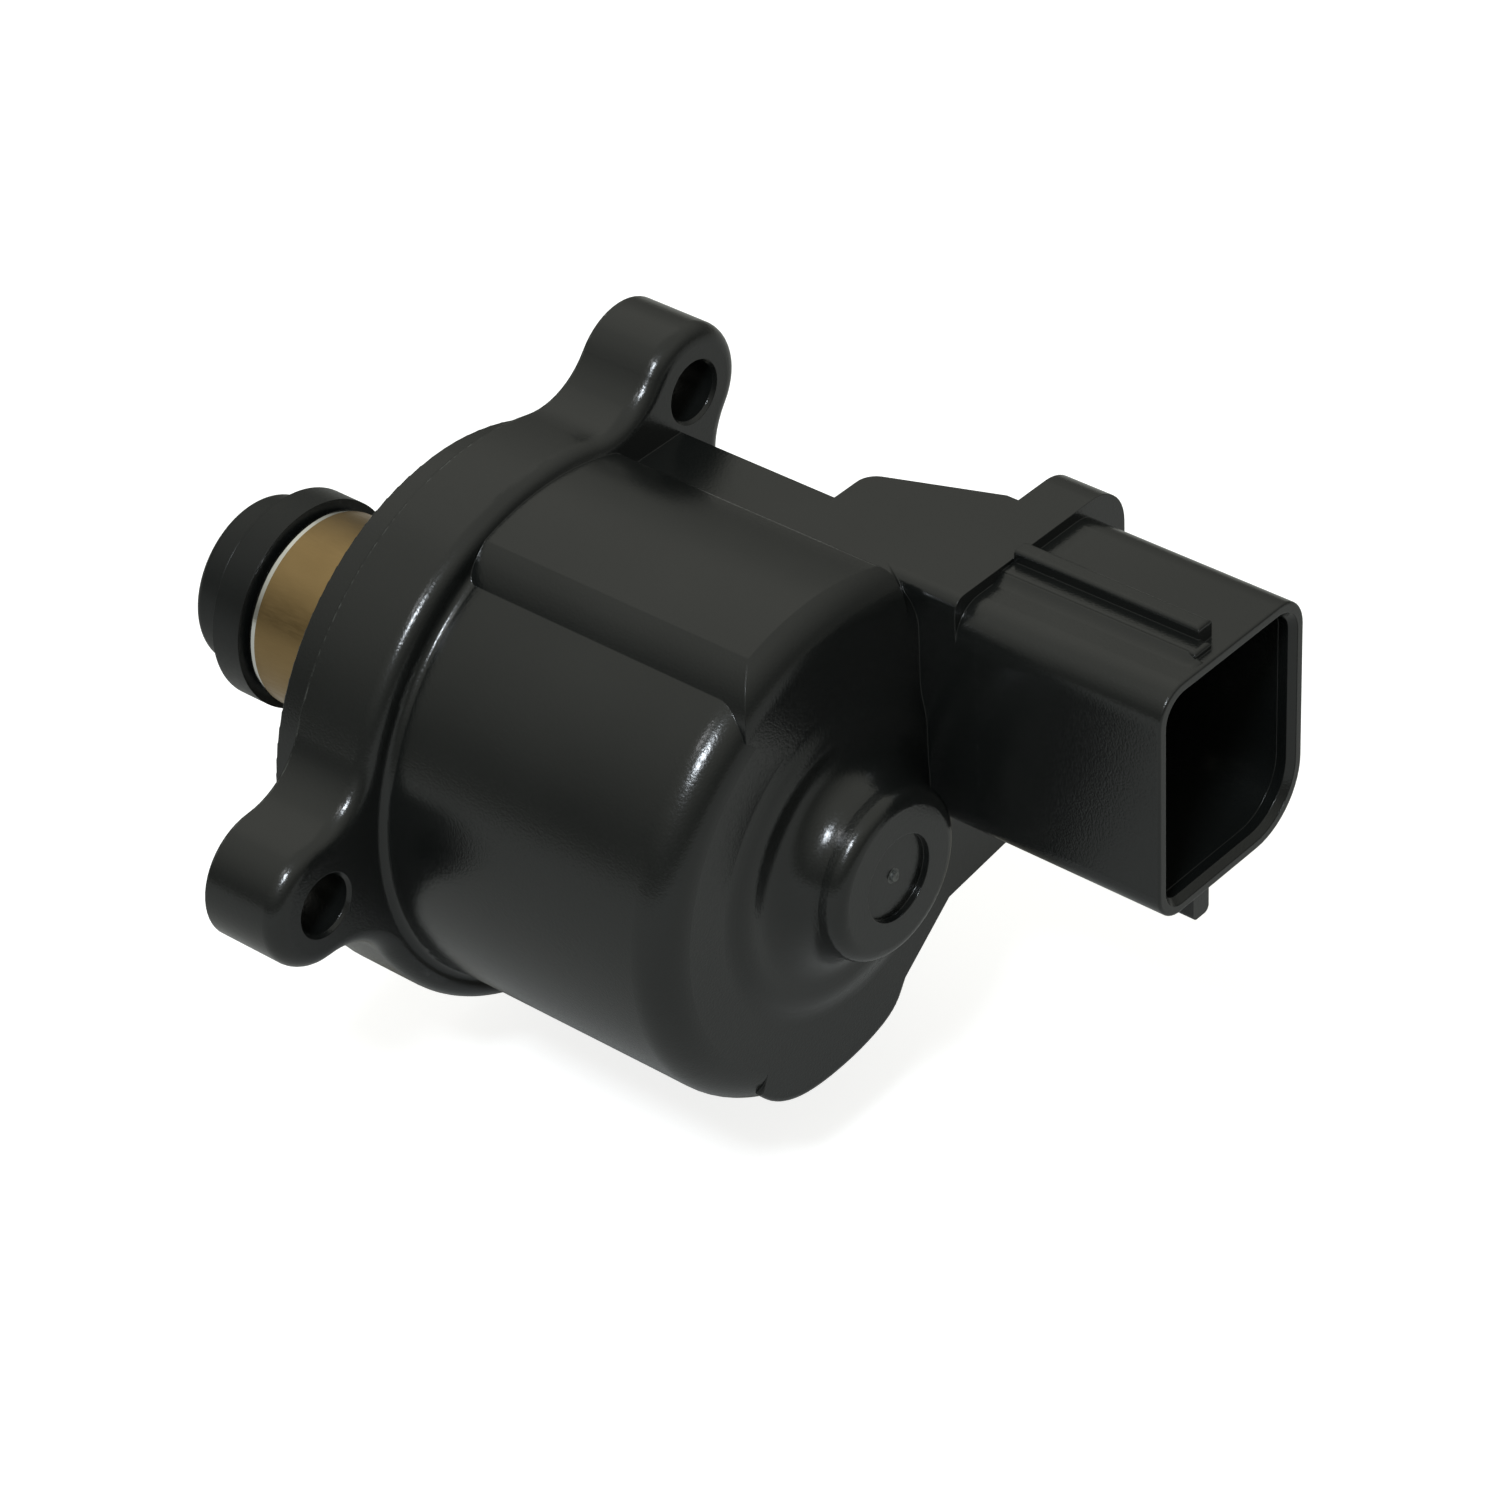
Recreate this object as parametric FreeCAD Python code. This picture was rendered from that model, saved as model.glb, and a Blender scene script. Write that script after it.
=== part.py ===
import FreeCAD, Part
import math
import os

# Idle air control valve, millimetres. X runs along the motor axis: the valve nose points to -X, the
# connector mouth to +X, +Y is the connector side and +Z up. X = 0 lies in the pilot spigot, 3 mm behind
# its front edge.
V = FreeCAD.Vector
AXIS = V(1, 0, 0)
os.makedirs("parts", exist_ok=True)

# Mounting flange and pilot spigot
face_x, flange_x1, flange_r = 1.05, 9.3, 26.15
flange_edge, flange_cove, cove_r = 1.6, 0.85, 24.4
spigot_x0, spigot_r, spigot_edge = -3.0, 23.75, 0.15
ear_angles = (52.6, 181.8, 297.2)
ear_pitch_r, ear_r = 30.67, 6.05
ear_root_fillet = 7.2
ear_hole_r, hole_bevel = 2.75, 0.3

# Motor body, drafted toward the rear, with a low step and the bearing boss on its rear face
body_front_r, body_rear_r, body_x1 = 23.42, 23.36, 40.3
body_rear_fillet = 3.4
step_foot_r, step_top_r, step_x1, step_fillet = 15.0, 13.2, 40.9, 4.0
boss_root_r, boss_end_r, boss_x1 = 8.6, 7.85, 46.1
boss_edge_fillet, boss_root_fillet = 1.4, 3.6
gate_recess_r, gate_recess_d = 4.05, 0.6
gate_r, gate_h = 0.45, 0.3

# Raised pad along the top of the motor body
pad_r, pad_angles, pad_edge_r = 25.0, (109.0, 70.8), 1.5
pad_flank_r, pad_flank_angles = 7.3, (122.0, 175.0)
pad_in_z, pad_over, pad_end_r = 15.0, 0.5, 4.4

# Web, terminal block and collar plate on the connector side
top_z = 21.3
web_y0, web_y1, web_z0 = 5.0, 16.7, 5.0
web_blend_r, web_over, web_end_r = 5.0, 1.1, 5.4
block_x0, block_x1, block_ramp = 26.4, 39.2, 1.2
block_y1, block_y2, block_z0 = 21.1, 25.6, -12.1
block_edge = 2.0
side_y, side_edge = 10.6, 1.3
collar_x1, collar_y1, collar_corner = 44.2, 33.8, 4.5
lobe_x0, lobe_edge = 24.0, 0.5
lobe_curve = ((-12.0, -18.6), (-7.5, -21.9), (-2.0, -22.5), (2.8, -21.9), (6.3, -20.2), (7.9, -17.8),
              (10.6, -15.5), (13.76, -13.1))
under_angle, under_r, under_slope = -52.0, 18.7, 1.55
lobe_foot_y, lobe_top_z, lobe_in_y = 21.4, 4.0, -4.0

# Connector shroud
shroud_x1 = 65.2
shroud_y1, shroud_z0, shroud_z1 = 30.6, -3.1, 20.25
shroud_radii = (3.0, 6.3, 3.5, 3.2)
shroud_wall, socket_floor_x, socket_corner_gain = 1.4, 47.2, 0.2
lip_step, lip_depth, lip_edge = 0.55, 1.6, 0.25
rib_y0, rib_y1, rib_z1, rib_x1 = 18.6, 20.4, 22.0, 63.2
ledge_y0, ledge_z1, ledge_x1 = 16.8, 20.9, 64.2
key_x0, key_y0, key_y1, key_z0, key_edge = 62.2, 15.6, 17.8, -5.6, 0.6
rail_sunk, rail_edge = 1.0, 0.4

# Cavities of the housing
cover_bore_r, cover_seat_x = 21.0, -0.6
motor_bore_r, motor_bore_x1 = 19.4, 31.5
bush_pocket_r, bush_pocket_x1 = 6.0, 37.5
screw_pocket_r, screw_pocket_x1 = 3.6, 43.0

# Connector terminals, two columns of three
terminal_ys, terminal_zs = (18.1, 23.1), (3.575, 8.575, 13.575)
terminal_t, terminal_w, terminal_bevel = 0.8, 1.5, 0.3
terminal_x1, terminal_tail_x = 55.0, 28.2
terminal_leg_xs, terminal_tail_ys = (37.5, 34.0), (10.8, 12.6)

# Guide sleeve with its cover flange
sleeve_r, sleeve_bore_r, sleeve_x0 = 9.3, 8.5, -20.7
sleeve_lip, sleeve_root = 0.6, 1.0
cover_r, cover_x0, cover_x1 = 20.7, -2.2, -1.0
gasket_r0, gasket_r1 = 19.5, 20.7

# Valve head
head_x0, head_r, head_edge = -28.4, 8.1, 0.8
neck_x0, neck_r, neck_slope = -25.8, 7.9, 0.5
head_collar_x0, head_collar_x1, head_collar_r, head_collar_bevel = -24.6, -21.0, 10.0, 0.4
skirt_r, skirt_bore_r, skirt_x1 = 8.42, 7.2, -9.0
head_floor_x, head_hub_r, head_hub_x1 = -20.4, 4.2, -15.0
head_socket_x0, head_fit = -26.4, 0.02

# Lead screw: a plain front end, a flatted middle, a threaded rear part
screw_r, screw_x1 = 2.5, 41.0
screw_flat, screw_flat_x0, screw_flat_x1 = 2.0, -3.0, 8.6
thread_pitch, thread_depth = 2.0, 0.55
thread_x0, thread_turns, thread_lead_in = 9.0, 8, 0.6
thread_half_root, thread_half_crest, thread_sunk = 0.62, 0.2, 0.05
thread_gap = 0.1
screw_tip = 0.5

# Front plate with the bearing seat
plate_r, plate_x1 = 19.1, 0.4
slot_gap, slot_room = 0.07, 0.1
seat_sunk = 0.5
seat_r0, seat_r1, seat_x1 = 7.45, 8.5, 4.6

# Front ball bearing
bearing_x0, bearing_x1 = 0.9, 4.9
race_out_r0, race_out_r1 = 6.3, 7.4
race_in_r0, race_in_r1 = 3.9, 4.9
ball_ring_r0, ball_ring_r1, ball_ring_half = 5.05, 6.15, 0.6

# Rotor
hub_x0, hub_x1, hub_journal_r, hub_bore_r = 0.9, 37.0, 3.86, 2.85
hub_body_x0, hub_body_x1, hub_body_r = 5.2, 28.0, 6.2
magnet_x0, magnet_x1, magnet_r = 5.8, 26.6, 8.4
nut_x0, nut_x1, nut_r = 10.5, 16.5, 4.8
nut_gap = 0.02

# Rear bush and wave washer
bush_x0, bush_x1, bush_r0, bush_r1 = 29.3, 37.3, 3.93, 5.95
washer_x0, washer_t, washer_r0, washer_r1 = 28.05, 0.3, 4.3, 5.9
washer_wave, washer_waves, washer_step = 0.85, 3, 10.0

# Stator: two stacks of two claw-pole cups round a wound bobbin
stack_x0, stack_l = 1.0, 13.0
cup_t, cup_r = 1.0, 19.2
claw_r0, claw_r1 = 8.8, 9.7
claws, claw_root_half, claw_tip_half, claw_tip_gap = 6, 12.0, 6.5, 0.9
stack_turn = 15.0
bobbin_r0, bobbin_core_r, bobbin_r1, bobbin_cheek, bobbin_end = 9.85, 10.9, 17.9, 0.8, 0.1
winding_r0, winding_r1, winding_end = 10.95, 17.4, 0.05

# Return spring envelope
spring_x0, spring_x1, spring_r0, spring_r1 = -20.3, -1.1, 5.6, 6.4


def yz(radius, angle):
    a = math.radians(angle)
    return radius * math.cos(a), radius * math.sin(a)


def tube(x0, x1, r1, r0=0.0):
    s = Part.makeCylinder(r1, x1 - x0, V(x0, 0, 0), AXIS)
    if r0:
        s = s.cut(Part.makeCylinder(r0, x1 - x0, V(x0, 0, 0), AXIS))
    return s


def turned(points):
    pts = [V(x, r, 0) for x, r in points]
    face = Part.Face(Part.makePolygon(pts + pts[:1]))
    return face.revolve(V(0, 0, 0), AXIS, 360)


def prism_x(points, x0, x1):
    pts = [V(x0, y, z) for y, z in points]
    return Part.Face(Part.makePolygon(pts + pts[:1])).extrude(V(x1 - x0, 0, 0))


def box(x0, x1, y0, y1, z0, z1):
    return Part.makeBox(x1 - x0, y1 - y0, z1 - z0, V(x0, y0, z0))


def circle_edges(shape, x, radius, slack=0.02):
    out = []
    for e in shape.Edges:
        c = e.Curve
        if isinstance(c, Part.Circle) and abs(c.Radius - radius) < slack and abs(c.Center.x - x) < slack:
            out.append(e)
    return out


def rounded_section(y0, y1, z0, z1, radii, x0, x1):
    # radii in the order lower left, lower right, upper right, upper left
    corners = ((y0, z0), (y1, z0), (y1, z1), (y0, z1))
    solid = box(x0, x1, y0, y1, z0, z1)
    for (cy, cz), r in zip(corners, radii):
        edges = [e for e in solid.Edges if abs(e.BoundBox.XLength - (x1 - x0)) < 1e-4
                 and abs(e.CenterOfMass.y - cy) < 1e-3 and abs(e.CenterOfMass.z - cz) < 1e-3]
        solid = solid.makeFillet(r, edges)
    return solid


def x_edges(shape, length, y, z, slack=0.05):
    return [e for e in shape.Edges if abs(e.BoundBox.XLength - length) < slack
            and abs(e.CenterOfMass.y - y) < slack and abs(e.CenterOfMass.z - z) < slack]


def face_rim(shape, x, slack=0.001):
    return [e for e in shape.Edges if abs(e.BoundBox.XMin - x) < slack and e.BoundBox.XLength < slack]


def flange_with_ears():
    depth = flange_x1 - face_x
    solid = tube(face_x, flange_x1, flange_r)
    flank = math.degrees(math.asin(ear_r / flange_r))
    for angle in ear_angles:
        cy, cz = yz(ear_pitch_r, angle)
        ty, tz = yz(ear_r, angle + 90)
        solid = solid.fuse(Part.makeCylinder(ear_r, depth, V(face_x, cy, cz), AXIS))
        sides = ((ty, tz), (-ty, -tz), (cy - ty, cz - tz), (cy + ty, cz + tz))
        solid = solid.fuse(prism_x(sides, face_x, flange_x1))
    solid = solid.removeSplitter()
    roots = []
    for angle in ear_angles:
        for side in (-1, 1):
            y, z = yz(flange_r, angle + side * flank)
            roots += x_edges(solid, depth, y, z)
    solid = solid.makeFillet(ear_root_fillet, roots)
    solid = solid.makeFillet(flange_edge, face_rim(solid, flange_x1))
    spigot = tube(spigot_x0, flange_x1, spigot_r)
    return solid.fuse(spigot.makeFillet(spigot_edge, circle_edges(spigot, spigot_x0, spigot_r)))


def under_cut():
    # wedge that flattens the rear rim under the connector
    reach = flange_r - under_r
    section = ((body_x1 + 1, under_r - under_slope), (body_x1 + 1, flange_r),
               (body_x1 - reach / under_slope, flange_r))
    pts = [V(x, r, -flange_r) for x, r in section]
    wedge = Part.Face(Part.makePolygon(pts + pts[:1])).extrude(V(0, 0, 2 * flange_r))
    wedge.rotate(V(0, 0, 0), AXIS, under_angle)
    return wedge


def motor_body():
    solid = turned(((face_x, 0), (face_x, cove_r), (flange_x1, cove_r), (flange_x1, body_front_r),
                    (body_x1, body_rear_r), (body_x1, 0)))
    solid = solid.makeFillet(flange_cove, circle_edges(solid, flange_x1, body_front_r))
    solid = solid.makeFillet(body_rear_fillet, circle_edges(solid, body_x1, body_rear_r)).cut(under_cut())
    step = turned(((body_x1 - 1, 0), (body_x1 - 1, step_foot_r), (body_x1, step_foot_r),
                   (step_x1, step_top_r), (step_x1, 0)))
    boss = turned(((step_x1 - 1, 0), (step_x1 - 1, boss_root_r), (boss_x1, boss_end_r), (boss_x1, 0)))
    boss = boss.makeFillet(boss_edge_fillet, circle_edges(boss, boss_x1, boss_end_r))
    solid = solid.fuse([step, boss]).removeSplitter()
    solid = solid.makeFillet(step_fillet, circle_edges(solid, body_x1, step_foot_r)
                             + circle_edges(solid, step_x1, step_top_r))
    foot = circle_edges(solid, step_x1, boss_root_r, boss_root_r - boss_end_r)
    solid = solid.makeFillet(boss_root_fillet, foot)
    solid = solid.cut(tube(boss_x1 - gate_recess_d, boss_x1, gate_recess_r))
    gate = tube(boss_x1 - gate_recess_d, boss_x1 - gate_recess_d + gate_h, gate_r)
    return solid.fuse(gate)


def arc_edge(x, centre, radius, a0, a1):
    pts = []
    for a in (a0, (a0 + a1) / 2, a1):
        y, z = yz(radius, a)
        pts.append(V(x, centre[0] + y, centre[1] + z))
    return Part.Arc(*pts).toShape()


def raised_pad():
    # shallow pad with a steep rounded flank toward -Y and a small rounding toward the web
    x0 = flange_x1 / 2
    ridge_y, ridge_z = yz(pad_r, pad_angles[0])
    flank_y, flank_z = yz(pad_flank_r, pad_flank_angles[0])
    top = arc_edge(x0, (0, 0), pad_r, *pad_angles)
    flank = arc_edge(x0, (ridge_y - flank_y, ridge_z - flank_z), pad_flank_r, *pad_flank_angles)
    side = arc_edge(x0, yz(pad_r - pad_edge_r, pad_angles[1]), pad_edge_r, pad_angles[1], 0)
    start, end = side.valueAt(side.LastParameter), flank.valueAt(flank.LastParameter)
    rest = (start, V(x0, start.y, pad_in_z), V(x0, ridge_y, pad_in_z), end)
    edges = [top, flank, side] + [Part.makeLine(p, q) for p, q in zip(rest, rest[1:])]
    pad = Part.Face(Part.Wire(Part.sortEdges(edges)[0])).extrude(V(body_x1 - x0, 0, 0))
    outer_r = pad_r + pad_over
    envelope = turned(((face_x, 0), (face_x, outer_r), (body_x1, outer_r), (body_x1, 0)))
    return pad.common(envelope.makeFillet(pad_end_r, circle_edges(envelope, body_x1, outer_r)))


def web_envelope():
    # the body's outside grown by a margin, with a larger rounding that runs into the body's rear edge
    front_r, rear_r = body_front_r + web_over, body_rear_r + web_over
    solid = turned(((face_x, 0), (face_x, front_r), (body_x1, rear_r), (body_x1, 0)))
    return solid.makeFillet(web_end_r, circle_edges(solid, body_x1, rear_r))


def top_web():
    # flat top that runs into the round body through a hollow of large radius
    mean_r = (body_front_r + body_rear_r) / 2
    cz = top_z + web_blend_r
    cy = math.sqrt((mean_r + web_blend_r) ** 2 - cz ** 2)
    on_body = mean_r / (mean_r + web_blend_r)
    mid_y, mid_z = yz(web_blend_r, (math.degrees(math.atan2(-cz, -cy)) - 90) / 2)
    start, end = V(flange_x1 / 2, cy * on_body, cz * on_body), V(flange_x1 / 2, cy, top_z)
    arc = Part.Arc(start, V(flange_x1 / 2, cy + mid_y, cz + mid_z), end).toShape()
    rest = [end] + [V(flange_x1 / 2, y, z) for y, z in
                    ((web_y1, top_z), (web_y1, web_z0), (web_y0, web_z0), (web_y0, top_z - 1))] + [start]
    edges = [arc] + [Part.makeLine(p, q) for p, q in zip(rest, rest[1:])]
    web = Part.Face(Part.Wire(edges)).extrude(V(body_x1 - flange_x1 / 2, 0, 0))
    return web.common(web_envelope())


def terminal_block():
    y0 = side_y + side_edge
    web = prism_x(((y0, top_z), (web_y1, top_z), (web_y1, web_z0), (y0, web_z0)), flange_x1 / 2, block_x1)
    plan = ((block_x0, side_y), (block_x0, block_y1), (block_x1 - block_ramp, block_y2),
            (body_x1, block_y2), (body_x1, side_y))
    pts = [V(x, y, block_z0) for x, y in plan]
    block = Part.Face(Part.makePolygon(pts + pts[:1])).extrude(V(0, 0, top_z - block_z0))
    front = [e for e in block.Edges if e.BoundBox.ZLength > 1 and abs(e.CenterOfMass.y - block_y1) < 0.001]
    block = block.makeFillet(block_edge, front)
    block = block.makeFillet(side_edge, x_edges(block, body_x1 - block_x0, side_y, top_z))
    return web.fuse(block)


def lobe():
    # rounded foot under the terminal block, between the body and the connector
    curve = Part.BSplineCurve()
    curve.interpolate([V(lobe_x0, y, z) for y, z in lobe_curve])
    outline = (lobe_curve[-1], (lobe_foot_y, block_z0), (block_y2, block_z0), (block_y2, lobe_top_z),
               (lobe_in_y, 0), lobe_curve[0])
    pts = [V(lobe_x0, y, z) for y, z in outline]
    edges = [curve.toShape()] + [Part.makeLine(p, q) for p, q in zip(pts, pts[1:])]
    solid = Part.Face(Part.Wire(edges)).extrude(V(body_x1 - lobe_x0, 0, 0))
    rim = [e for e in face_rim(solid, body_x1) if isinstance(e.Curve, Part.BSplineCurve)]
    return solid.makeFillet(lobe_edge, rim)


def connector_side():
    radii = (shroud_radii[0], collar_corner, collar_corner, side_edge)
    collar = rounded_section(side_y, collar_y1, shroud_z0, top_z, radii, block_x1, collar_x1)
    return top_web().fuse([raised_pad(), terminal_block(), lobe(), collar])


def rail(x1, y0, y1, z0, z1):
    solid = box(collar_x1, x1, y0, y1, z0, z1)
    length = x1 - collar_x1
    edges = x_edges(solid, length, y0, z1) + x_edges(solid, length, y1, z1)
    edges += [e for e in face_rim(solid, x1) if abs(e.CenterOfMass.z - z1) < 0.01]
    return solid.makeFillet(rail_edge, edges)


def shroud():
    outer = rounded_section(side_y, shroud_y1, shroud_z0, shroud_z1, shroud_radii,
                            collar_x1 - rail_sunk, shroud_x1)
    outer = outer.makeFillet(lip_edge, face_rim(outer, shroud_x1))
    rib = rail(rib_x1, rib_y0, rib_y1, shroud_z1 - rail_sunk, rib_z1)
    ledge = rail(ledge_x1, ledge_y0, rib_y0 + rail_edge, shroud_z1 - rail_sunk, ledge_z1)
    key_x1 = shroud_x1 - lip_edge
    key = box(key_x0, key_x1, key_y0, key_y1, key_z0, shroud_z0 + rail_sunk)
    key = key.makeFillet(key_edge, x_edges(key, key_x1 - key_x0, key_y0, key_z0)
                         + x_edges(key, key_x1 - key_x0, key_y1, key_z0))
    return outer.fuse([rib, ledge, key])


def socket():
    parts = []
    for wall, x0 in ((shroud_wall, socket_floor_x), (shroud_wall - lip_step, shroud_x1 - lip_depth)):
        radii = [r - wall + socket_corner_gain for r in shroud_radii]
        parts.append(rounded_section(side_y + wall, shroud_y1 - wall, shroud_z0 + wall, shroud_z1 - wall,
                                     radii, x0, shroud_x1 + 1))
    return parts[0].fuse(parts[1])


def terminal(y, z, leg_x, tail_y):
    # blade in the socket, a leg across to the motor and a tail that enters the coil space
    half_w, half_t = terminal_w / 2, terminal_t / 2
    blade = box(leg_x, terminal_x1, y - half_t, y + half_t, z - half_w, z + half_w)
    tip = [e for e in blade.Edges if abs(e.BoundBox.XMin - terminal_x1) < 1e-4 and e.BoundBox.YLength < 1e-4]
    blade = blade.makeChamfer(terminal_bevel, tip)
    leg = box(leg_x, leg_x + terminal_t, tail_y - half_t, y, z - half_w, z + half_w)
    tail = box(terminal_tail_x, leg_x + half_t, tail_y - half_t, tail_y + half_t, z - half_w, z + half_w)
    return blade.fuse([leg, tail]).removeSplitter()


def thread_solid(root_r, crest_r, x0, turns, half_root, half_crest):
    # helical ridge with a trapezium section, swept along a right-hand helix round X
    helix = Part.makeHelix(thread_pitch, thread_pitch * turns, root_r)
    sec = [V(root_r, 0, -half_root), V(crest_r, 0, -half_crest), V(crest_r, 0, half_crest),
           V(root_r, 0, half_root)]
    profile = Part.Wire(Part.makePolygon(sec + sec[:1]))
    ridge = Part.Wire(helix).makePipeShell([profile], True, True)
    ridge.rotate(V(0, 0, 0), V(0, 1, 0), 90)
    ridge.translate(V(x0, 0, 0))
    return ridge


def wave_washer():
    # flat ring bent into waves along its circumference, lofted through radial sections
    sections = []
    for i in range(round(360 / washer_step)):
        a = i * washer_step
        dx = washer_wave * (0.5 + 0.5 * math.cos(math.radians(a * washer_waves)))
        pts = []
        for x, r in ((0, washer_r0), (0, washer_r1), (washer_t, washer_r1), (washer_t, washer_r0)):
            y, z = yz(r, a)
            pts.append(V(washer_x0 + dx + x, y, z))
        sections.append(pts)
    faces = []
    for i, pts in enumerate(sections):
        nxt = sections[(i + 1) % len(sections)]
        for k in range(4):
            m = (k + 1) % 4
            for tri in ((pts[k], nxt[k], nxt[m]), (pts[k], nxt[m], pts[m])):
                faces.append(Part.Face(Part.makePolygon(list(tri) + [tri[0]])))
    return Part.Solid(Part.Shell(faces))


def stator_cup(x_wall, side, turn):
    # side +1: end plate at x_wall with the claws reaching toward +X; side -1: mirrored
    x_in = x_wall + side * cup_t
    x_half = x_wall + side * stack_l / 2
    lo, hi = sorted((x_wall, x_in))
    cup = tube(lo, hi, cup_r, claw_r0)
    lo, hi = sorted((x_wall, x_half))
    cup = cup.fuse(tube(lo, hi, cup_r, cup_r - cup_t))
    reach = stack_l - cup_t - claw_tip_gap
    for i in range(claws):
        a = turn + i * 360.0 / claws
        x_tip = x_wall + side * reach
        x_mid = x_wall
        big = []
        for x, half in ((x_mid, claw_root_half), (x_tip, claw_tip_half)):
            y0, z0 = yz(claw_r1 / math.cos(math.radians(half)) + 1, a - half)
            y1, z1 = yz(claw_r1 / math.cos(math.radians(half)) + 1, a + half)
            big.append((V(x, 0, 0), V(x, y0, z0), V(x, y1, z1)))
        wedge = Part.makeLoft([Part.makePolygon(list(t) + [t[0]]) for t in big], True, True)
        lo, hi = sorted((x_wall, x_tip))
        claw = tube(lo, hi, claw_r1, claw_r0).common(wedge)
        cup = cup.fuse(claw)
    return cup.removeSplitter()


def bobbin(x0):
    a, b = x0 + cup_t + bobbin_end, x0 + stack_l - cup_t - bobbin_end
    return turned(((a, bobbin_r0), (a, bobbin_r1), (a + bobbin_cheek, bobbin_r1),
                   (a + bobbin_cheek, bobbin_core_r), (b - bobbin_cheek, bobbin_core_r),
                   (b - bobbin_cheek, bobbin_r1), (b, bobbin_r1), (b, bobbin_r0)))


def winding(x0):
    gap = cup_t + bobbin_end + bobbin_cheek + winding_end
    return tube(x0 + gap, x0 + stack_l - gap, winding_r1, winding_r0)


terminals = {}
for row, (y, leg_x, tail_y) in enumerate(zip(terminal_ys, terminal_leg_xs, terminal_tail_ys)):
    for col, z in enumerate(terminal_zs):
        terminals[f"terminal_{'ab'[row]}{col + 1}"] = terminal(y, z, leg_x, tail_y)

housing = flange_with_ears()
housing = housing.fuse([motor_body(), connector_side(), shroud()]).removeSplitter()
for angle in ear_angles:
    cy, cz = yz(ear_pitch_r, angle)
    housing = housing.cut(Part.makeCylinder(ear_hole_r, flange_x1, V(0, cy, cz), AXIS))
    housing = housing.cut(Part.makeCone(ear_hole_r, ear_hole_r + hole_bevel, hole_bevel,
                                        V(flange_x1 - hole_bevel, cy, cz), AXIS))
housing = housing.cut(turned(((spigot_x0, 0), (spigot_x0, cover_bore_r), (cover_seat_x, cover_bore_r),
                              (cover_seat_x, motor_bore_r), (motor_bore_x1, motor_bore_r),
                              (motor_bore_x1, bush_pocket_r), (bush_pocket_x1, bush_pocket_r),
                              (bush_pocket_x1, screw_pocket_r), (screw_pocket_x1, screw_pocket_r),
                              (screw_pocket_x1, 0))))
housing = housing.cut(socket())
for t in terminals.values():
    housing = housing.cut(t)

guide_sleeve = turned(((sleeve_x0, sleeve_bore_r), (sleeve_x0, sleeve_r), (cover_x0, sleeve_r),
                       (cover_x0, cover_r), (cover_x1, cover_r), (cover_x1, sleeve_bore_r)))
guide_sleeve = guide_sleeve.makeFillet(sleeve_lip, circle_edges(guide_sleeve, sleeve_x0, sleeve_r))
guide_sleeve = guide_sleeve.makeFillet(sleeve_root, circle_edges(guide_sleeve, cover_x0, sleeve_r))
cover_gasket = tube(cover_x1, cover_seat_x, gasket_r1, gasket_r0)

valve_head = turned(((head_x0, 0), (head_x0, head_r), (neck_x0, head_r), (neck_x0 + neck_slope, neck_r),
                     (head_collar_x0, neck_r), (head_collar_x0 + head_collar_bevel, head_collar_r),
                     (head_collar_x1, head_collar_r), (head_collar_x1, skirt_r), (skirt_x1, skirt_r),
                     (skirt_x1, skirt_bore_r), (head_floor_x, skirt_bore_r), (head_floor_x, head_hub_r),
                     (head_hub_x1, head_hub_r), (head_hub_x1, screw_r + head_fit),
                     (head_socket_x0, screw_r + head_fit), (head_socket_x0, 0)))
valve_head = valve_head.makeFillet(head_edge, circle_edges(valve_head, head_x0, head_r))

core_r = screw_r - thread_depth
lead_screw = turned(((head_socket_x0, 0), (head_socket_x0, screw_r - screw_tip),
                     (head_socket_x0 + screw_tip, screw_r), (screw_flat_x1, screw_r), (thread_x0, core_r),
                     (screw_x1 - screw_tip, core_r), (screw_x1, core_r - screw_tip), (screw_x1, 0)))
for side in (-1, 1):
    z0 = screw_flat if side > 0 else -screw_r
    z1 = screw_r if side > 0 else -screw_flat
    lead_screw = lead_screw.cut(box(screw_flat_x0, screw_flat_x1 + 1, -screw_r, screw_r, z0, z1))
ridge_x = thread_x0 + thread_lead_in
lead_screw = lead_screw.fuse(thread_solid(core_r - thread_sunk, screw_r, ridge_x, thread_turns,
                                          thread_half_root, thread_half_crest))

slot_x0, slot_x1 = cover_x1 - slot_room, plate_x1 + slot_room
slot_r, slot_z = screw_r + slot_gap, screw_flat + slot_gap
slot = tube(slot_x0, slot_x1, slot_r).common(box(slot_x0, slot_x1, -slot_r, slot_r, -slot_z, slot_z))
front_plate = tube(cover_x1, plate_x1, plate_r).fuse(tube(plate_x1 - seat_sunk, seat_x1, seat_r1))
front_plate = front_plate.cut(tube(plate_x1, seat_x1, seat_r0)).cut(slot).removeSplitter()

bearing_outer = tube(bearing_x0, bearing_x1, race_out_r1, race_out_r0)
bearing_inner = tube(bearing_x0, bearing_x1, race_in_r1, race_in_r0)
ball_mid = (bearing_x0 + bearing_x1) / 2
ball_set = tube(ball_mid - ball_ring_half, ball_mid + ball_ring_half, ball_ring_r1, ball_ring_r0)

rotor_hub = turned(((hub_x0, hub_bore_r), (hub_x0, hub_journal_r), (hub_body_x0, hub_journal_r),
                    (hub_body_x0, hub_body_r), (hub_body_x1, hub_body_r), (hub_body_x1, hub_journal_r),
                    (hub_x1, hub_journal_r), (hub_x1, hub_bore_r), (nut_x1, hub_bore_r),
                    (nut_x1, nut_r + nut_gap), (nut_x0, nut_r + nut_gap), (nut_x0, hub_bore_r)))
ring_magnet = tube(magnet_x0, magnet_x1, magnet_r, hub_body_r + nut_gap)
rotor_nut = tube(nut_x0, nut_x1, nut_r, core_r + thread_gap).cut(
    thread_solid(core_r - thread_sunk, screw_r + thread_gap, ridge_x, thread_turns,
                 thread_half_root + thread_gap, thread_half_crest + thread_gap))

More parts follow.
